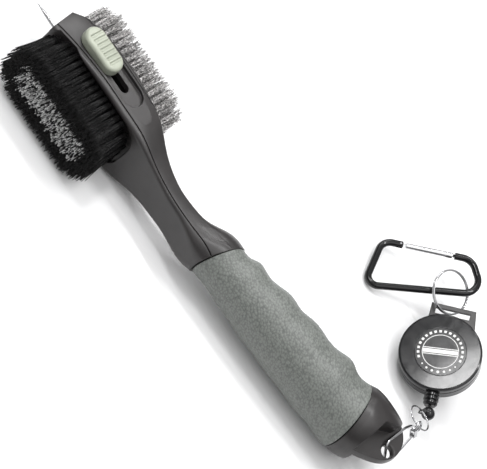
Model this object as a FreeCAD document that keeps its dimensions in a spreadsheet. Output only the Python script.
import FreeCAD, Part
import math
import os

import Sketcher
from FreeCAD import Placement, Rotation, Vector

# Club groove brush with its retractable tether. Millimetres.
# +X runs along the handle towards the head's tip, +Y is the nylon side,
# +Z is the side of the thumb slider. The brush lies on its side on Z = 0,
# and the origin is the middle of the flat under the head.

SIZES = {
    # whole brush
    "handle_shift_x": 7.0,
    "handle_shift_y": 6.8,
    "axis_height": 15.5,
    "head_origin": 30.0,
    "head_tilt": 6.8,
    "head_middle_x": 1.5,
    "head_middle_y": -7.8,
    "head_half_thickness": 8.84,
    "head_half_width": 15.5,
    "plate_depth": 2.4,
    "parting_gap": 0.35,
    "front_plate_end": -90.0,
    "rear_plate_end": -22.5,
    "plate_peg_radius": 1.4,
    "plate_peg_depth": 2.2,
    # bristles
    "nylon_half_length": 27.5,
    "nylon_half_width": 13.3,
    "nylon_corner": 9.0,
    "nylon_height": 18.6,
    "nylon_core_half_length": 19.5,
    "nylon_core_half_width": 6.3,
    "nylon_core_corner": 5.9,
    "bristle_root": 1.5,
    "nylon_middle": 0.6,
    "wire_middle": -0.4,
    "wire_half_length": 27.2,
    "wire_half_width": 12.8,
    "wire_corner": 7.5,
    "wire_height": 13.2,
    # slider and spike
    "track_floor": 29.4,
    "track_half_width": 5.1,
    "track_front": 20.4,
    "track_rear": -15.6,
    "slot_half_width": 2.0,
    "slot_front": 13.8,
    "slot_rear": -8.6,
    "button_middle": 9.6,
    "button_length": 20.0,
    "button_width": 9.4,
    "button_height": 4.3,
    "button_edge": 1.4,
    "button_groove_pitch": 2.1,
    "button_groove_width": 1.1,
    "button_groove_depth": 0.6,
    "button_neck_half_length": 3.6,
    "button_neck_half_width": 1.85,
    "cavity_front": 24.0,
    "cavity_rear": -14.5,
    "cavity_half_width": 3.4,
    "cavity_floor": 11.5,
    "cavity_roof": 27.0,
    "carriage_front": 16.0,
    "carriage_rear": 3.0,
    "carriage_clearance": 0.2,
    "spike_radius": 0.75,
    "spike_hole_radius": 0.84,
    "spike_rear": 5.0,
    "spike_tip": 41.0,
    "spike_point_length": 6.0,
    "detent_thickness": 0.25,
    "detent_length": 34.0,
    # handle
    "collar_joint": 108.6,
    "collar_slant": 23.75,
    "butt_joint": 186.8,
    "butt_slant": 15.3,
    "core_start": 100.0,
    "core_end": 192.0,
    "core_radius_front": 7.4,
    "core_radius_rear": 10.6,
    # end cap
    "cap_shift": -0.5,
    "cap_height": 15.24,
    "cap_length": 25.6,
    "pocket_start": 196.9,
    "underside_pocket_start": 198.6,
    "tab_top": 19.5,
    "tab_bottom": 16.5,
    "tether_hole_x": -177.3,
    "tether_hole_y": -0.8,
    "tether_hole_radius": 2.6,
    "tether_hole_chamfer": 0.6,
    # snap hook and jump ring
    "hook_wire_radius": 0.6,
    "hook_half_width": 4.9,
    "hook_length": 24.0,
    "hook_corner": 2.5,
    "hook_nose": 10.6,
    "hook_eye_radius": 1.9,
    "hook_eye_wire": 0.5,
    "hook_gate_tip": 11.4,
    "hook_pivot_x": 20.3,
    "hook_pivot_y": -2.3,
    "hook_pin_radius": 0.3,
    "hook_pin_clearance": 0.04,
    "jump_ring_radius": 5.38,
    "jump_ring_wire": 0.35,
    # reel
    "reel_radius": 17.0,
    "reel_half_depth": 4.0,
    "reel_split": 0.8,
    "reel_wall": 1.5,
    "reel_edge": 0.9,
    "badge_radius": 10.5,
    "badge_thickness": 0.5,
    "badge_recess": 0.35,
    "post_radius": 1.5,
    "spool_flange_radius": 14.2,
    "spool_drum_radius": 8.2,
    "spool_drum_wall": 0.8,
    "spool_bore_clearance": 0.05,
    "winding_radius": 11.0,
    "spring_strip": 0.25,
    "nozzle_radius": 3.1,
    "nozzle_end": 22.4,
    "nozzle_bore": 0.8,
    "cord_radius": 0.45,
    "cord_loop_radius": 1.4,
    "ball_radius": 2.75,
    "ball_place": 25.8,
    # clip and tab on the reel's back
    "tab_turn": -3.0,
    "tab_end": -24.2,
    "tab_half_width_end": 9.3,
    "tab_half_width_root": 12.2,
    "tab_thickness": 1.1,
    "tab_slot_half_length": 7.2,
    "tab_slot_width": 2.5,
    "tab_slot_edge": 1.9,
    "clip_half_width": 7.2,
    "clip_strip": 0.9,
    "clip_gap": 2.8,
    "clip_front": 11.0,
    "clip_bend": -9.0,
    "rivet_radius": 1.9,
    # split ring and carabiner
    "split_ring_radius": 9.1,
    "split_ring_wire": 0.4,
    "carabiner_bar_radius": 1.5,
    "gate_radius": 1.2,
    "gate_pin_radius": 0.45,
    "gate_pin_clearance": 0.05,
}

doc = FreeCAD.newDocument("club_groove_brush")
sheet = doc.addObject("Spreadsheet::Sheet", "sizes")
for row, (alias, number) in enumerate(SIZES.items(), start=1):
    sheet.set(f"A{row}", alias)
    sheet.set(f"B{row}", str(number))
    sheet.setAlias(f"B{row}", alias)
doc.recompute()

pieces = []
helpers = iter(range(10000))


def size(alias):
    """The number in a named cell of the sheet."""
    return float(sheet.get(alias))


def amount(expression):
    """The value of an expression over the sheet."""
    result = sheet.evalExpression(expression)
    return float(getattr(result, "Value", result))


def bind(thing, **expressions):
    """Bind properties of an object to expressions over the sheet."""
    for name, expression in expressions.items():
        thing.setExpression(name, expression)
    return thing


def primitive(kind, place=None, **expressions):
    """A Part primitive whose sizes follow the sheet."""
    thing = bind(doc.addObject(kind, f"piece{next(helpers)}"), **expressions)
    if place is not None:
        thing.Placement = place
    return thing


def box(x, y, z, place=None):
    """A box from three (low, high) pairs of expressions."""
    thing = primitive(
        "Part::Box",
        Length=f"({x[1]}) - ({x[0]})",
        Width=f"({y[1]}) - ({y[0]})",
        Height=f"({z[1]}) - ({z[0]})",
    )
    corner = Vector(amount(x[0]), amount(y[0]), amount(z[0]))
    thing.Placement = (place or Placement()) * Placement(corner, Rotation())
    return thing


def cylinder(radius, length, at=(0, 0, 0), along=(0, 0, 1), place=None):
    """A round bar of an expression's radius and length, from a point along a direction."""
    local = Placement(Vector(*at), Rotation(Vector(0, 0, 1), Vector(*along)))
    return primitive("Part::Cylinder", (place or Placement()) * local, Radius=radius, Height=length)


def join(parts):
    """One solid from several."""
    thing = doc.addObject("Part::MultiFuse", f"piece{next(helpers)}")
    thing.Shapes = parts
    return thing


def cut(base, tools):
    """A solid with others taken away."""
    tool = tools[0] if len(tools) == 1 else join(tools)
    thing = doc.addObject("Part::Cut", f"piece{next(helpers)}")
    thing.Base = base
    thing.Tool = tool
    return thing


def overlap(base, tool):
    """What two solids share."""
    thing = doc.addObject("Part::Common", f"piece{next(helpers)}")
    thing.Base = base
    thing.Tool = tool
    return thing


def finish(thing, label, place=None):
    """Name a sub-part and put it where it belongs."""
    thing.Label = label
    if place is not None:
        thing.Placement = place.multiply(thing.Placement)
    pieces.append(thing)
    return thing


def shaped(shape, place=None):
    """A solid made with Part's own functions."""
    thing = doc.addObject("Part::Feature", f"piece{next(helpers)}")
    thing.Shape = shape
    if place is not None:
        thing.Placement = place
    return thing


def outline(body, role, corners):
    """A closed sketch on a plane of its body; each corner is a pair of expressions."""
    sketch = body.newObject("Sketcher::SketchObject", f"outline{next(helpers)}")
    plane = next(item for item in body.Origin.OriginFeatures if item.Role == role)
    sketch.AttachmentSupport = (plane, [""])
    sketch.MapMode = "FlatFace"
    points = [Vector(amount(across), amount(up), 0) for across, up in corners]
    for index, point in enumerate(points):
        sketch.addGeometry(Part.LineSegment(point, points[(index + 1) % len(points)]), False)
    for index in range(len(points)):
        following = (index + 1) % len(points)
        sketch.addConstraint(Sketcher.Constraint("Coincident", index, 2, following, 1))
    for index, (corner, point) in enumerate(zip(corners, points)):
        for kind, axis, expression, value in (
            ("DistanceX", -2, corner[0], point.x),
            ("DistanceY", -1, corner[1], point.y),
        ):
            if abs(value) < 1e-9:
                sketch.addConstraint(Sketcher.Constraint("PointOnObject", index, 1, axis))
                continue
            number = sketch.addConstraint(Sketcher.Constraint(kind, -1, 1, index, 1, value))
            sketch.setExpression(f"Constraints[{number}]", expression)
    return sketch


def turned(label, corners, place):
    """A body turned about its own Z axis from (radius, height) corners."""
    body = doc.addObject("PartDesign::Body", f"body{next(helpers)}")
    sketch = outline(body, "XZ_Plane", corners)
    turn = body.newObject("PartDesign::Revolution", f"turn{next(helpers)}")
    turn.Profile = sketch
    turn.ReferenceAxis = (sketch, ["V_Axis"])
    turn.Angle = 360.0
    return finish(body, label, place)


def padded(label, corners, depth, place, offset="0"):
    """A body padded upwards from an outline on its XY plane."""
    body = doc.addObject("PartDesign::Body", f"body{next(helpers)}")
    sketch = outline(body, "XY_Plane", corners)
    sketch.AttachmentOffset = Placement(Vector(0, 0, amount(offset)), Rotation())
    pad = body.newObject("PartDesign::Pad", f"pad{next(helpers)}")
    pad.Profile = sketch
    pad.setExpression("Length", depth)
    return finish(body, label, place) if label else body


def rounded_path(points, radii, closed=False):
    """Straight runs between points, joined by tangent arcs."""
    corners = [Vector(*point) for point in points]
    count = len(corners)
    edges = []
    last = None
    first = None
    for index in range(count):
        here = corners[index]
        at_end = not closed and index in (0, count - 1)
        if at_end:
            enter = leave = here
        else:
            before = (corners[index - 1] - here).normalize()
            after = (corners[(index + 1) % count] - here).normalize()
            half = before.getAngle(after) / 2
            reach = radii[index] / math.tan(half)
            enter = here + before * reach
            leave = here + after * reach
            middle = (before + after).normalize()
            top = here + middle * (radii[index] / math.sin(half) - radii[index])
        if last is not None and (enter - last).Length > 1e-6:
            edges.append(Part.makeLine(last, enter))
        if not at_end:
            edges.append(Part.Arc(enter, top, leave).toShape())
        first = first or enter
        last = leave
    if closed and (first - last).Length > 1e-6:
        edges.append(Part.makeLine(last, first))
    return Part.Wire(edges)


def rod(path, radius):
    """A round bar swept along a path of runs and arcs."""
    edge = path.Edges[0]
    start = edge.valueAt(edge.FirstParameter)
    direction = edge.tangentAt(edge.FirstParameter)
    ring = Part.Wire([Part.makeCircle(radius, start, direction)])
    return path.makePipeShell([ring], True, False)


def frame_of(point, yaw, pitch, roll):
    """A frame at a point, turned by yaw, pitch and roll."""
    return Placement(Vector(*point), Rotation(yaw, pitch, roll))


def facing(point, normal):
    """A frame at a point whose Z axis is a given direction."""
    return Placement(Vector(*point), Rotation(Vector(0, 0, 1), Vector(*normal)))


# ---------------------------------------------------------------- frames
# handle: X on the line under the handle's axis, from which everything else is placed
axis_height = size("axis_height")
handle = Placement(Vector(size("handle_shift_x"), size("handle_shift_y"), 0), Rotation())
head = handle * Placement(
    Vector(size("head_middle_x"), size("head_middle_y"), 0),
    Rotation(Vector(0, 0, 1), -size("head_tilt")),
)
hole = (size("tether_hole_x"), size("tether_hole_y"), (size("tab_top") + size("tab_bottom")) / 2)
hook = handle * frame_of(hole, -98.4, 6.5, 49.2)
jump = handle * facing((-179.3, -29.2, 13.5), (0.092, 0.377, -0.922))
reel = handle * frame_of((-168.3, -59.0, 13.3), 120.6, 7.0, 34.6)
tab = reel * Placement(Vector(), Rotation(Vector(0, 0, 1), size("tab_turn")))
ring = handle * facing((-153.3, -84.7, 14.3), (-0.273, 0.16, 0.95))
clipper = handle * frame_of((-125.0, -67.1, 1.3), -135.9, -21.25, -1.6)


def station(distance):
    """The X of a place measured from the head's tip end towards the butt."""
    return size("head_origin") - distance


# ---------------------------------------------------------------- head and neck
# distance from the tip end, middle in Y, half thickness, half width, corner radius, crown
NECK = (
    (0.0, -8.9, 6.7, 10.4, 1.6, 0.3),
    (2.2, -9.2, 7.4, 11.3, 1.6, 0.4),
    (6.0, -9.9, 8.3, 12.5, 1.6, 0.6),
    (12.0, -9.6, 8.8, 13.9, 1.6, 0.6),
    (19.0, -8.9, 8.9, 15.0, 1.6, 0.6),
    (27.0, -8.0, 8.9, 15.7, 1.6, 0.6),
    (37.0, -6.7, 8.75, 15.75, 1.6, 0.6),
    (46.0, -5.05, 8.3, 15.7, 1.8, 0.6),
    (53.0, -3.65, 7.6, 15.3, 2.0, 0.5),
    (59.0, -2.1, 6.4, 13.6, 1.9, 0.4),
    (65.0, -0.7, 5.2, 11.4, 1.9, 0.3),
    (72.0, 0.75, 4.4, 9.6, 1.9, 0.2),
    (79.0, 1.95, 4.2, 8.6, 1.9, 0.2),
    (87.0, 2.7, 4.6, 8.4, 2.2, 0.2),
    (94.0, 3.2, 6.2, 8.8, 3.6, 0.2),
    (100.0, 2.0, 8.8, 9.7, 6.6, 0.15),
    (105.0, 0.4, 10.4, 10.5, 9.6, 0.1),
    (110.0, 0.0, 10.6, 10.6, 10.45, 0.05),
    (116.0, 0.0, 10.6, 10.6, 10.45, 0.05),
)


def neck_section(distance, middle, half_thickness, half_width, corner, crown):
    """A rounded rectangle across the handle, with slightly crowned top and bottom."""
    x = station(distance)
    low = middle - half_thickness
    high = middle + half_thickness
    bottom = axis_height - half_width + crown
    top = axis_height + half_width - crown
    bend = corner * (1 - math.sqrt(0.5))

    def at(y, z):
        return Vector(x, y, z)

    edges = [
        Part.Arc(at(low + corner, bottom), at(middle, bottom - crown), at(high - corner, bottom)),
        Part.Arc(at(high - corner, bottom), at(high - bend, bottom + bend), at(high, bottom + corner)),
        Part.LineSegment(at(high, bottom + corner), at(high, top - corner)),
        Part.Arc(at(high, top - corner), at(high - bend, top - bend), at(high - corner, top)),
        Part.Arc(at(high - corner, top), at(middle, top + crown), at(low + corner, top)),
        Part.Arc(at(low + corner, top), at(low + bend, top - bend), at(low, top - corner)),
        Part.LineSegment(at(low, top - corner), at(low, bottom + corner)),
        Part.Arc(at(low, bottom + corner), at(low + bend, bottom + bend), at(low + corner, bottom)),
    ]
    return Part.Wire([edge.toShape() for edge in edges])


def head_slab(side, end):
    """The space of a brush plate: a slab along one face of the head."""
    inner = "sizes.head_half_thickness - sizes.plate_depth"
    outer = "sizes.head_half_thickness + 6"
    across = (inner, outer) if side > 0 else (f"-({outer})", f"-({inner})")
    return box((end, "40"), across, ("-20", "50"), head)


def half_space(distance, slant, forward):
    """Everything on one side of a slanted plane across the handle."""
    middle = Vector(station(size(distance)), 0, axis_height)
    place = handle * Placement(middle, Rotation(Vector(0, 0, 1), slant))
    along = ("0", "300") if forward else ("-300", "0")
    return box(along, ("-90", "90"), ("-90", "90"), place)


def core_solid():
    """The hard core inside the grip, wider towards the butt."""
    return primitive(
        "Part::Cone",
        handle * facing((station(size("core_start")), 0, axis_height), (-1, 0, 0)),
        Radius1="sizes.core_radius_front",
        Radius2="sizes.core_radius_rear",
        Height="sizes.core_end - sizes.core_start",
    )


envelope = shaped(Part.makeLoft([neck_section(*row) for row in NECK], True, False), handle)
floor_cut = box(("-200", "80"), ("-60", "60"), ("-10", "sizes.axis_height - sizes.head_half_width"))
roof_cut = box(("-200", "80"), ("-60", "60"), ("sizes.axis_height + sizes.head_half_width", "60"))
blank = cut(envelope, [floor_cut, roof_cut])

PEGS = ((-19.0, 15.5), (10.0, 24.0), (10.0, 7.0))


def pegs(side):
    """The pegs that locate a brush plate in the frame."""
    reach = "sizes.plate_peg_depth + 0.6"
    start = side * (size("head_half_thickness") - size("plate_depth") + 0.6)
    return [
        cylinder("sizes.plate_peg_radius", reach, (along, start, up), (0, -side, 0), head)
        for along, up in PEGS
    ]


def field_block(name, side, inset="0"):
    """A brush field: a block with rounded corners that stands on one face of the head."""
    field = name.split("_")[0]
    half_length = f"sizes.{name}_half_length - {inset}"
    half_width = f"sizes.{name}_half_width - {inset}"
    corner = f"sizes.{name}_corner - {inset}"
    root = amount("sizes.head_half_thickness - sizes.bristle_root")
    depth = f"sizes.{field}_height + sizes.bristle_root"
    turn = Rotation(Vector(1, 0, 0), -90 * side)
    middle = Vector(size(f"{field}_middle"), side * root, axis_height)
    place = head * Placement(middle, turn)
    short_length = f"{half_length} - ({corner})"
    short_width = f"{half_width} - ({corner})"
    long_bar = box(
        (f"-({half_length})", half_length),
        (f"-({short_width})", short_width),
        ("0", depth),
        place,
    )
    wide_bar = box(
        (f"-({short_length})", short_length),
        (f"-({half_width})", half_width),
        ("0", depth),
        place,
    )
    corners = [
        cylinder(
            corner,
            depth,
            (a * amount(short_length), b * amount(short_width), 0),
            (0, 0, 1),
            place,
        )
        for a in (-1, 1)
        for b in (-1, 1)
    ]
    return join([long_bar, wide_bar] + corners)


def brush_plate(label, name, side, end):
    """A plate that carries one of the two brush fields in a shallow seat."""
    slab = head_slab(side, end)
    shell = join([overlap(blank, slab)] + pegs(side))
    room = [half_space("collar_joint", -size("collar_slant"), False), core_solid(), field_block(name, side)]
    return finish(cut(shell, room), label)


brush_plate("front_brush_plate", "nylon", 1, "sizes.front_plate_end")
brush_plate("rear_brush_plate", "wire", -1, "sizes.rear_plate_end")


def plate_seat(side, end):
    """The room that a plate and its parting gap take out of the frame."""
    inner = "sizes.head_half_thickness - sizes.plate_depth - sizes.parting_gap"
    outer = "sizes.head_half_thickness + 6"
    across = (inner, outer) if side > 0 else (f"-({outer})", f"-({inner})")
    return box((f"{end} - sizes.parting_gap", "40"), across, ("-20", "50"), head)


def slot_shape(rear, front, half_width, low, high):
    """A straight slot with round ends, along the head."""
    reach = f"({high}) - ({low})"
    bar = box(
        (f"{rear} + {half_width}", f"{front} - {half_width}"),
        (f"-{half_width}", half_width),
        (low, high),
        head,
    )
    ends = [
        cylinder(half_width, reach, (amount(end), 0, amount(low)), (0, 0, 1), head)
        for end in (f"{rear} + {half_width}", f"{front} - {half_width}")
    ]
    return join([bar] + ends)


track_width = "sizes.track_half_width"
track = slot_shape("sizes.track_rear", "sizes.track_front", track_width, "sizes.track_floor", "40")
slot_width = "sizes.slot_half_width"
slot = slot_shape("sizes.slot_rear", "sizes.slot_front", slot_width, "sizes.cavity_roof - 1", "40")
cavity = box(
    ("sizes.cavity_rear", "sizes.cavity_front"),
    ("-sizes.cavity_half_width", "sizes.cavity_half_width"),
    ("sizes.cavity_floor", "sizes.cavity_roof"),
    head,
)
hole_start = (size("cavity_front") - 1, 0, axis_height)
spike_hole = cylinder("sizes.spike_hole_radius", "12", hole_start, (1, 0, 0), head)
shell = cut(
    blank,
    [
        half_space("collar_joint", -size("collar_slant"), False),
        plate_seat(1, "sizes.front_plate_end"),
        plate_seat(-1, "sizes.rear_plate_end"),
        track,
        slot,
        cavity,
        spike_hole,
    ]
    + pegs(1)
    + pegs(-1),
)


finish(join([shell, core_solid()]), "body_frame")

# ---------------------------------------------------------------- grip
# distance from the tip end, radius, middle in Y: four finger waves on the -Y side
GRIP = (
    (98.0, 10.2, 0.0),
    (104.5, 10.2, 0.0),
    (111.0, 10.25, 0.0),
    (117.0, 10.6, 0.2),
    (122.6, 11.5, -0.2),
    (129.5, 11.5, 0.25),
    (136.0, 12.7, -0.2),
    (144.0, 12.6, 0.3),
    (152.0, 13.5, -0.15),
    (160.0, 13.3, 0.3),
    (168.0, 14.15, -0.15),
    (176.4, 13.85, 0.25),
    (183.5, 14.3, 0.0),
    (190.5, 14.35, 0.0),
    (197.5, 14.4, 0.0),
)


def grip_ring(distance, radius, middle):
    """One cross-section of the grip."""
    centre = Vector(station(distance), middle, axis_height)
    return Part.Wire([Part.makeCircle(radius, centre, Vector(1, 0, 0))])


grip_blank = shaped(Part.makeLoft([grip_ring(*row) for row in GRIP], True, False), handle)
finish(
    cut(
        grip_blank,
        [
            half_space("collar_joint", -size("collar_slant"), True),
            half_space("butt_joint", size("butt_slant"), False),
            core_solid(),
        ],
    ),
    "grip_sleeve",
)

# ---------------------------------------------------------------- end cap
# distance from the joint along the dome's own slanted axis, radius
CAP = (
    (2.2, 15.05),
    (4.5, 15.2),
    (9.2, 14.4),
    (14.0, 13.0),
    (18.6, 11.1),
    (22.0, 8.5),
    (24.3, 5.2),
    (25.4, 2.0),
)


def cap_blank():
    """The domed end of the handle, square to the slanted joint, before its pockets are cut."""
    points = [Vector(radius, 0, distance) for distance, radius in CAP]
    dome = Part.BSplineCurve()
    dome.interpolate(Points=points, InitialTangent=Vector(0.3, 0, 1), FinalTangent=Vector(-1, 0, 0.35))
    lip = Vector(14.6, 0, 0)
    top = Vector(0, 0, size("cap_length"))
    edges = [
        Part.makeLine(Vector(), lip),
        Part.makeLine(lip, points[0]),
        dome.toShape(),
        Part.makeLine(points[-1], top),
        Part.makeLine(top, Vector()),
    ]
    dome_solid = Part.Face(Part.Wire(edges)).revolve(Vector(), Vector(0, 0, 1), 360)
    slant = math.radians(size("butt_slant"))
    joint = (station(size("butt_joint")), size("cap_shift"), size("cap_height"))
    return shaped(dome_solid, handle * facing(joint, (-math.cos(slant), -math.sin(slant), 0)))


tether_x = size("tether_hole_x")
tether_y = size("tether_hole_y")
pocket_wall = "sizes.head_origin - sizes.pocket_start"
pocket = padded(
    None,
    [
        (pocket_wall, "40"),
        (pocket_wall, "sizes.tether_hole_y - 1.2"),
        ("sizes.tether_hole_x + 4.0", "sizes.tether_hole_y - 7.0"),
        ("sizes.tether_hole_x + 3.6", "-40"),
        ("-240", "-40"),
        ("-240", "40"),
    ],
    "40",
    None,
    "sizes.tab_top",
)
pocket.Placement = handle
under_wall = "sizes.head_origin - sizes.underside_pocket_start"
under_pocket = box(("-240", under_wall), ("-40", "40"), ("-10", "sizes.tab_bottom"), handle)


def chamfer_cone(level, up):
    """The countersink at one mouth of the tether hole."""
    return primitive(
        "Part::Cone",
        handle * facing((tether_x, tether_y, size(level)), (0, 0, -up)),
        Radius1="sizes.tether_hole_radius + sizes.tether_hole_chamfer",
        Radius2="sizes.tether_hole_radius",
        Height="sizes.tether_hole_chamfer",
    )


finish(
    cut(
        cap_blank(),
        [
            half_space("butt_joint", size("butt_slant"), True),
            pocket,
            under_pocket,
            cylinder("sizes.tether_hole_radius", "30", (tether_x, tether_y, 5), (0, 0, 1), handle),
            chamfer_cone("tab_top", 1),
            chamfer_cone("tab_bottom", -1),
            core_solid(),
        ],
    ),
    "end_cap",
)

# ---------------------------------------------------------------- bristles


finish(cut(field_block("nylon", 1), [field_block("nylon_core", 1)]), "nylon_bristles_black")
finish(field_block("nylon_core", 1, "0.1"), "nylon_bristles_grey")
finish(field_block("wire", -1), "wire_bristles")

# ---------------------------------------------------------------- slider, carriage, spike, detent


def button_neck(low, high):
    """The round-ended neck of the button, between two heights."""
    middle = "sizes.button_middle"
    reach = "sizes.button_neck_half_length"
    width = "sizes.button_neck_half_width"
    return slot_shape(f"({middle} - {reach})", f"({middle} + {reach})", width, low, high)


def thumb_slider():
    """The ribbed button, with the neck that reaches through the slot."""
    bottom = size("track_floor") + 0.1
    half = "(sizes.button_width / 2)"
    middle = "sizes.button_middle"
    length = "sizes.button_length / 2"
    top = f"{bottom} + sizes.button_height"
    block = slot_shape(f"({middle} - {length})", f"({middle} + {length})", half, f"{bottom}", top)
    grooves = []
    for step in range(-3, 4):
        along = size("button_middle") + step * size("button_groove_pitch")
        grooves.append(
            box(
                (f"{along} - sizes.button_groove_width / 2", f"{along} + sizes.button_groove_width / 2"),
                ("-sizes.button_width / 2 - 1", "sizes.button_width / 2 - 2.2"),
                (f"{top} - sizes.button_groove_depth", f"{top} + 2"),
                head,
            )
        )
    neck = button_neck("sizes.cavity_roof - 2.5", f"{bottom} + 0.5")
    doc.recompute()
    rounded = doc.addObject("Part::Fillet", f"piece{next(helpers)}")
    rounded.Base = block
    level = bottom + size("button_height")
    rim = [
        number
        for number, edge in enumerate(block.Shape.Edges, start=1)
        if abs(edge.BoundBox.ZMin - level) < 1e-6 and abs(edge.BoundBox.ZMax - level) < 1e-6
    ]
    faces = [face for face in block.Shape.Faces if abs(face.BoundBox.ZMin - level) < 1e-6]
    outer = [number for number in rim if is_outer_edge(block.Shape.Edges[number - 1], faces)]
    rounded.Edges = [(number, size("button_edge"), size("button_edge")) for number in outer]
    return finish(join([cut(rounded, grooves), neck]), "thumb_slider")


def is_outer_edge(edge, faces):
    """True for an edge that only one of the faces has."""
    return sum(any(edge.isSame(other) for other in face.Edges) for face in faces) == 1


thumb_slider()

carriage_half_width = "sizes.cavity_half_width - sizes.carriage_clearance"
carriage_block = box(
    ("sizes.carriage_rear", "sizes.carriage_front"),
    (f"-({carriage_half_width})", carriage_half_width),
    ("sizes.cavity_floor + 2 * sizes.carriage_clearance", "sizes.cavity_roof - sizes.carriage_clearance"),
    head,
)
neck_socket = button_neck("sizes.cavity_roof - 2.5", "sizes.cavity_roof + 1")
spike_socket = cylinder("sizes.spike_radius", "20", (size("spike_rear"), 0, axis_height), (1, 0, 0), head)
finish(cut(carriage_block, [neck_socket, spike_socket]), "slide_carriage")

shank_length = "sizes.spike_tip - sizes.spike_point_length - sizes.spike_rear"
shank = cylinder("sizes.spike_radius", shank_length, (size("spike_rear"), 0, axis_height), (1, 0, 0), head)
point = primitive(
    "Part::Cone",
    head * facing((size("spike_tip") - size("spike_point_length"), 0, axis_height), (1, 0, 0)),
    Radius1="sizes.spike_radius",
    Radius2="sizes.spike_radius * 0.16",
    Height="sizes.spike_point_length",
)
finish(join([shank, point]), "groove_spike")

finish(
    box(
        ("sizes.cavity_rear + 1", "sizes.cavity_rear + 1 + sizes.detent_length"),
        ("-sizes.cavity_half_width + 0.8", "sizes.cavity_half_width - 0.8"),
        ("sizes.cavity_floor", "sizes.cavity_floor + sizes.detent_thickness"),
        head,
    ),
    "detent_spring",
)

# ---------------------------------------------------------------- snap hook and jump ring
half = size("hook_half_width")
length = size("hook_length")
corner = size("hook_corner")
hook_path = rounded_path(
    [
        (length - 2.6, 0.45, 0),
        (18.0, 3.6, 0),
        (12.5, half, 0),
        (0, half, 0),
        (0, -half, 0),
        (size("hook_nose"), -half, 0),
    ],
    [0, 8.0, 9.0, corner, corner, 0],
)
hook_wire = shaped(rod(hook_path, size("hook_wire_radius")))
eye = primitive(
    "Part::Torus",
    Placement(Vector(length, 0, 0), Rotation()),
    Radius1="sizes.hook_eye_radius",
    Radius2="sizes.hook_eye_wire",
)
collar = cylinder("1.15", "1.3", (length - 2.9, 0, 0), (1, 0, 0))
ears = [
    box(
        ("sizes.hook_pivot_x - 0.7", "sizes.hook_length - 2.2"),
        ("sizes.hook_pivot_y - 0.7", "0.2"),
        (low, high),
    )
    for low, high in (("0.7", "1.1"), ("-1.1", "-0.7"))
]
pivot = (size("hook_pivot_x"), size("hook_pivot_y"))
pin_seat = cylinder("sizes.hook_pin_radius", "4", (pivot[0], pivot[1], -2))
finish(cut(join([hook_wire, eye, collar] + ears), [pin_seat]), "snap_hook", hook.copy())
finish(cylinder("sizes.hook_pin_radius", "2.3", (pivot[0], pivot[1], -1.15)), "hook_gate_pin", hook.copy())

gate_run = Vector(size("hook_gate_tip") - pivot[0], -half + 0.1 - pivot[1], 0)
gate_bar = shaped(Part.makeCylinder(0.5, gate_run.Length, Vector(pivot[0], pivot[1], 0), gate_run))
barrel = cylinder("0.78", "1.2", (pivot[0], pivot[1], -0.6))
barrel_bore = cylinder("sizes.hook_pin_radius + sizes.hook_pin_clearance", "4", (pivot[0], pivot[1], -2))
finish(cut(join([gate_bar, barrel]), [barrel_bore]), "hook_gate", hook.copy())

jump_ring = primitive("Part::Torus", Radius1="sizes.jump_ring_radius", Radius2="sizes.jump_ring_wire")
finish(jump_ring, "jump_ring", jump.copy())

# ---------------------------------------------------------------- cord end: ball, cord and loop
ball_place = Vector(size("ball_place"), 0, 0)
loop_middle = reel.inverse().multVec(handle.multVec(Vector(-178.7, -34.2, 11.5)))
towards = (loop_middle - ball_place).normalize()
ring_tangent = reel.inverse().Rotation.multVec(Vector(-0.99, -0.07, -0.13))
loop_normal = (ring_tangent - towards * ring_tangent.dot(towards)).normalize()
ball = primitive("Part::Sphere", Placement(ball_place, Rotation()), Radius="sizes.ball_radius")


def cord_runs():
    """The cord from the reel to the middle of the ball, and on to its loop."""
    reach = (loop_middle - ball_place).Length - size("cord_loop_radius")
    return [
        cylinder("sizes.cord_radius", "sizes.ball_place - 13.2", (13.2, 0, 0), (1, 0, 0)),
        cylinder("sizes.cord_radius", str(reach), tuple(ball_place), tuple(towards)),
    ]


cord_loop = primitive(
    "Part::Torus",
    Placement(loop_middle, Rotation(Vector(0, 0, 1), loop_normal)),
    Radius1="sizes.cord_loop_radius",
    Radius2="0.35",
)
finish(cut(ball, cord_runs() + [cord_loop]), "cord_ball", reel.copy())
finish(join(cord_runs() + [cord_loop]), "cord_lead", reel.copy())

# ---------------------------------------------------------------- reel
edge = "sizes.reel_edge"
outer = "sizes.reel_radius"
inner = "sizes.reel_radius - sizes.reel_wall"
back = "-sizes.reel_half_depth"
front = "sizes.reel_half_depth"
seam = "sizes.reel_split"
back_floor = f"{back} + 1.2"
front_floor = f"{front} - 1.3"

back_case = turned(
    "reel_back_case",
    [
        ("sizes.post_radius", back),
        (f"{outer} - {edge}", back),
        (outer, f"{back} + {edge}"),
        (outer, f"{seam} - 0.3"),
        (f"{outer} - 0.3", seam),
        (inner, seam),
        (inner, back_floor),
        ("sizes.post_radius", back_floor),
    ],
    reel.copy(),
)
front_case = turned(
    "reel_front_case",
    [
        ("0", front_floor),
        (inner, front_floor),
        (inner, seam),
        (f"{outer} - 0.3", seam),
        (outer, f"{seam} + 0.3"),
        (outer, f"{front} - {edge}"),
        (f"{outer} - 0.25 * {edge}", f"{front} - 0.3 * {edge}"),
        (f"{outer} - {edge}", front),
        ("sizes.badge_radius + 0.1", front),
        ("sizes.badge_radius + 0.1", f"{front} - sizes.badge_recess"),
        ("0", f"{front} - sizes.badge_recess"),
    ],
    reel.copy(),
)
turned(
    "face_badge",
    [
        ("0", f"{front} - sizes.badge_recess"),
        ("sizes.badge_radius", f"{front} - sizes.badge_recess"),
        ("sizes.badge_radius", f"{front} - sizes.badge_recess + sizes.badge_thickness"),
        ("0", f"{front} - sizes.badge_recess + sizes.badge_thickness"),
    ],
    reel.copy(),
)
post_top = f"{front_floor} - 0.1"
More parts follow.
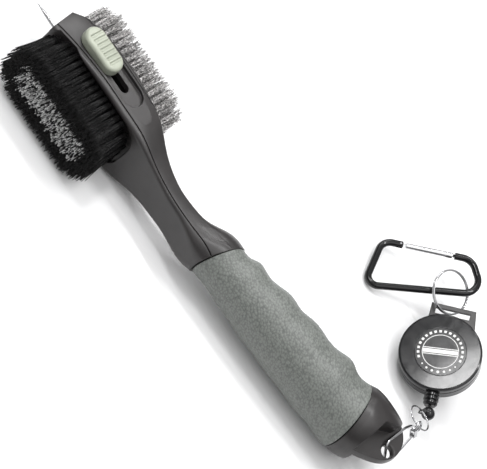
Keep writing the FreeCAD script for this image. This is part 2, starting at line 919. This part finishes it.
turned(
    "centre_post",
    [("0", back), ("sizes.post_radius", back), ("sizes.post_radius", post_top), ("0", post_top)],
    reel.copy(),
)

bore = "sizes.post_radius + sizes.spool_bore_clearance"
drum = "sizes.spool_drum_radius"
drum_inner = "sizes.spool_drum_radius - sizes.spool_drum_wall"
flange = "sizes.spool_flange_radius"
low_flange = "-2.4"
high_flange = "2.4"
turned(
    "spool",
    [
        (drum_inner, low_flange),
        (flange, low_flange),
        (flange, f"{low_flange} + 0.6"),
        (drum, f"{low_flange} + 0.6"),
        (drum, f"{high_flange} - 0.6"),
        (flange, f"{high_flange} - 0.6"),
        (flange, high_flange),
        (bore, high_flange),
        (bore, f"{high_flange} - 0.9"),
        (drum_inner, f"{high_flange} - 0.9"),
    ],
    reel.copy(),
)
turned(
    "cord_winding",
    [
        (drum, f"{low_flange} + 0.6"),
        ("sizes.winding_radius", f"{low_flange} + 0.6"),
        ("sizes.winding_radius", f"{high_flange} - 0.6"),
        (drum, f"{high_flange} - 0.6"),
    ],
    reel.copy(),
)


def mainspring():
    """A flat strip wound in a spiral from the post to the drum's wall."""
    turns = 5
    steps = 24
    start = size("post_radius")
    end = size("spool_drum_radius") - size("spool_drum_wall") - 0.3
    growth = (end - start) / (turns * steps)

    def arm(extra):
        curve = Part.BSplineCurve()
        points = []
        for step in range(turns * steps + 1):
            angle = 2 * math.pi * step / steps
            radius = start + growth * step + extra
            points.append(Vector(radius * math.cos(angle), radius * math.sin(angle), -2.5))
        curve.interpolate(points)
        return curve.toShape(), points

    inside, inside_points = arm(0.0)
    outside, outside_points = arm(size("spring_strip"))
    ends = [Part.makeLine(inside_points[at], outside_points[at]) for at in (0, -1)]
    strip = Part.Face(Part.Wire(Part.__sortEdges__([inside, ends[1], outside, ends[0]])))
    return shaped(strip.extrude(Vector(0, 0, 3.6)))


finish(mainspring(), "mainspring", reel.copy())

turned(
    "cord_nozzle",
    [
        ("sizes.nozzle_bore", "sizes.reel_radius - sizes.reel_wall - 0.4"),
        ("2.3", "sizes.reel_radius - sizes.reel_wall - 0.4"),
        ("2.3", "sizes.reel_radius + 0.2"),
        ("sizes.nozzle_radius", "sizes.reel_radius + 0.5"),
        ("sizes.nozzle_radius", "sizes.reel_radius + 1.3"),
        ("sizes.nozzle_radius - 0.6", "sizes.reel_radius + 1.6"),
        ("sizes.nozzle_radius - 0.6", "sizes.reel_radius + 1.9"),
        ("sizes.nozzle_radius", "sizes.reel_radius + 2.2"),
        ("sizes.nozzle_radius", "sizes.reel_radius + 3.0"),
        ("sizes.nozzle_radius - 0.7", "sizes.reel_radius + 3.3"),
        ("sizes.nozzle_radius - 0.7", "sizes.reel_radius + 3.6"),
        ("sizes.nozzle_radius - 0.2", "sizes.reel_radius + 3.9"),
        ("sizes.nozzle_radius - 0.2", "sizes.reel_radius + 4.5"),
        ("sizes.nozzle_radius - 0.9", "sizes.nozzle_end"),
        ("sizes.nozzle_bore", "sizes.nozzle_end"),
    ],
    reel * Placement(Vector(), Rotation(Vector(0, 0, 1), Vector(1, 0, 0))),
)


def port(body, radius):
    """Bore the cord's port through the side wall of a case body."""
    doc.recompute()
    sketch = body.newObject("Sketcher::SketchObject", f"port{next(helpers)}")
    plane = next(item for item in body.Origin.OriginFeatures if item.Role == "YZ_Plane")
    sketch.AttachmentSupport = (plane, [""])
    sketch.MapMode = "FlatFace"
    sketch.addGeometry(Part.Circle(Vector(0, 0, 0), Vector(0, 0, 1), amount(radius)), False)
    sketch.addConstraint(Sketcher.Constraint("Coincident", 0, 3, -1, 1))
    number = sketch.addConstraint(Sketcher.Constraint("Radius", 0, amount(radius)))
    sketch.setExpression(f"Constraints[{number}]", radius)
    before = body.Shape.Volume
    pocket_cut = body.newObject("PartDesign::Pocket", f"bore{next(helpers)}")
    pocket_cut.Profile = sketch
    pocket_cut.setExpression("Length", "sizes.reel_radius + 2")
    for reverse in (True, False):
        pocket_cut.Reversed = reverse
        doc.recompute()
        removed = before - body.Shape.Volume
        if removed > 0.5 and body.Shape.BoundBox.isValid() and wall_open(body, radius):
            return
    raise SystemExit(f"the port of {body.Label} cuts nothing")


def wall_open(body, radius):
    """True where the cord's side of the case wall is open."""
    probe = body.Placement.multVec(Vector(size("reel_radius") - 0.7, 0, 0))
    return not body.Shape.isInside(probe, 1e-4, True)


port(back_case, "2.3")
port(front_case, "2.3")

# ---------------------------------------------------------------- tab, clip and rivet on the reel's back
tab_level = f"{back} - sizes.tab_thickness"
tab_plate = padded(
    None,
    [
        ("sizes.tab_end", "-sizes.tab_half_width_end"),
        ("9", "-sizes.tab_half_width_root + 3"),
        ("9", "sizes.tab_half_width_root - 3"),
        ("-6", "sizes.tab_half_width_root"),
        ("sizes.tab_end", "sizes.tab_half_width_end"),
    ],
    "sizes.tab_thickness",
    None,
    tab_level,
)
tab_slot = box(
    ("sizes.tab_end + sizes.tab_slot_edge", "sizes.tab_end + sizes.tab_slot_edge + sizes.tab_slot_width"),
    ("-sizes.tab_slot_half_length", "sizes.tab_slot_half_length"),
    (f"{tab_level} - 2", f"{back} + 2"),
)
rivet_hole = cylinder("sizes.rivet_radius * 0.6", "6", (0, 0, -8))
finish(cut(tab_plate, [tab_slot, rivet_hole]), "ring_tab", tab.copy())

clip_top = f"{tab_level}"
clip_base = f"{tab_level} - sizes.clip_strip"
tongue_top = f"{clip_base} - sizes.clip_gap"
tongue_low = f"{tongue_top} - sizes.clip_strip"
clip_profile = [
    ("7", clip_base),
    ("7", clip_top),
    ("sizes.clip_bend - 0.6", clip_top),
    ("sizes.clip_bend - 2.0", f"{clip_top} - 1.2"),
    ("sizes.clip_bend - 2.0", f"{tongue_low} + 1.2"),
    ("sizes.clip_bend - 0.6", tongue_low),
    ("sizes.clip_front - 2", tongue_low),
    ("sizes.clip_front", f"{tongue_low} + 1.0"),
    ("sizes.clip_front", f"{tongue_top} + 1.0"),
    ("sizes.clip_front - 2", tongue_top),
    ("sizes.clip_bend - 0.4", tongue_top),
    ("sizes.clip_bend - 1.1", f"{tongue_top} + 0.7"),
    ("sizes.clip_bend - 1.1", f"{clip_base} - 0.7"),
    ("sizes.clip_bend - 0.4", clip_base),
]
clip_body = doc.addObject("PartDesign::Body", "clip_body")
clip_sketch = outline(clip_body, "XZ_Plane", clip_profile)
clip_pad = clip_body.newObject("PartDesign::Pad", "clip_pad")
clip_pad.Profile = clip_sketch
clip_pad.setExpression("Length", "2 * sizes.clip_half_width")
clip_pad.Midplane = True
finish(cut(clip_body, [cylinder("sizes.rivet_radius * 0.6", "5", (0, 0, -7.5))]), "belt_clip", tab.copy())
rivet_head = f"{clip_base} - 0.6"
turned(
    "clip_rivet",
    [
        ("0", rivet_head),
        ("sizes.rivet_radius * 0.75", rivet_head),
        ("sizes.rivet_radius", f"{rivet_head} + 0.35"),
        ("sizes.rivet_radius", clip_base),
        ("sizes.rivet_radius * 0.6", clip_base),
        ("sizes.rivet_radius * 0.6", back),
        ("0", back),
    ],
    tab.copy(),
)

# ---------------------------------------------------------------- split ring
ring_turns = [
    primitive(
        "Part::Torus",
        Placement(Vector(0, 0, level), Rotation()),
        Radius1="sizes.split_ring_radius",
        Radius2="sizes.split_ring_wire",
    )
    for level in (-0.36, 0.36)
]
finish(join(ring_turns), "split_ring", ring.copy())

# ---------------------------------------------------------------- carabiner
bar = size("carabiner_bar_radius")
GATE_HINGE = (15.4, 13.9)
GATE_TIP = (37.9, 9.7)
carabiner_path = rounded_path(
    [(37.0, 9.9, 0), (45.6, 8.3, 0), (49.0, -7.6, 0), (-1.4, -5.0, 0), (8.0, 15.4, 0), (16.4, 13.8, 0)],
    [0, 6.0, 6.6, 4.0, 5.4, 0],
)
carabiner_bar = shaped(rod(carabiner_path, bar))
gate_direction = Vector(GATE_TIP[0] - GATE_HINGE[0], GATE_TIP[1] - GATE_HINGE[1], 0).normalize()
gate_side = Vector(-gate_direction.y, gate_direction.x, 0)
gate_turn = math.degrees(math.atan2(gate_direction.y, gate_direction.x))


def gate_place(along, across=0.0):
    """A frame on the gate's line, X along it."""
    start = Vector(GATE_HINGE[0], GATE_HINGE[1], 0) + gate_direction * along + gate_side * across
    return Placement(start, Rotation(Vector(0, 0, 1), gate_turn))


gate_length = (Vector(*GATE_TIP, 0) - Vector(*GATE_HINGE, 0)).Length
hinge_slot = box(("-1.9", "2.4"), ("-3", "3"), ("-0.62", "0.62"), gate_place(0.0))
nose_room = box(("-2.6", "0.35"), ("-3", "3"), ("-3", "3"), gate_place(gate_length))
latch_neck = box(("-3.2", "1"), ("-0.5", "0.5"), ("-0.45", "0.45"), gate_place(gate_length))
latch_head = box(("-3.2", "-2.4"), ("-1.0", "1.0"), ("-0.45", "0.45"), gate_place(gate_length))
hinge_pin_seat = cylinder("sizes.gate_pin_radius", "6", (0, 0, -3), (0, 0, 1), gate_place(0.0))
finish(
    join([cut(carabiner_bar, [hinge_slot, nose_room, hinge_pin_seat]), latch_neck, latch_head]),
    "carabiner_frame",
    clipper.copy(),
)
gate_pin = cylinder("sizes.gate_pin_radius", "2.9", (0, 0, -1.45), (0, 0, 1), gate_place(0.0))
finish(gate_pin, "carabiner_gate_pin", clipper.copy())

gate_tube = cylinder("sizes.gate_radius", f"{gate_length} - 3.2", (2.6, 0, 0), (1, 0, 0), gate_place(0.0))
gate_tongue = box(("-0.9", "3.4"), ("-0.85", "0.85"), ("-0.5", "0.5"), gate_place(0.0))
latch_slot = box(("-3.6", "1"), ("-3", "1.25"), ("-0.6", "0.6"), gate_place(gate_length))
gate_bore = cylinder(
    "sizes.gate_pin_radius + sizes.gate_pin_clearance", "6", (0, 0, -3), (0, 0, 1), gate_place(0.0)
)
finish(cut(join([gate_tube, gate_tongue]), [latch_slot, gate_bore]), "carabiner_gate", clipper.copy())

# ---------------------------------------------------------------- check and write
doc.recompute()
for thing in doc.Objects:
    if "Invalid" in thing.State or "Error" in thing.State:
        raise SystemExit(f"{thing.Name} ({thing.Label}) failed: {thing.State}")
for piece in pieces:
    if piece.Shape.isNull() or not piece.Shape.isValid():
        raise SystemExit(f"{piece.Label} has no valid shape")
    if not piece.Shape.Solids:
        raise SystemExit(f"{piece.Label} has no solid")

os.makedirs("parts", exist_ok=True)
for piece in pieces:
    piece.Shape.exportStep(f"parts/{piece.Label}.step")
    limits = piece.Shape.BoundBox
    print(
        f"{piece.Label:22s} {len(piece.Shape.Solids)} solids {piece.Shape.Volume:9.1f} mm3 "
        f"X {limits.XMin:7.1f} {limits.XMax:7.1f} "
        f"Y {limits.YMin:7.1f} {limits.YMax:7.1f} "
        f"Z {limits.ZMin:6.2f} {limits.ZMax:6.2f}"
    )
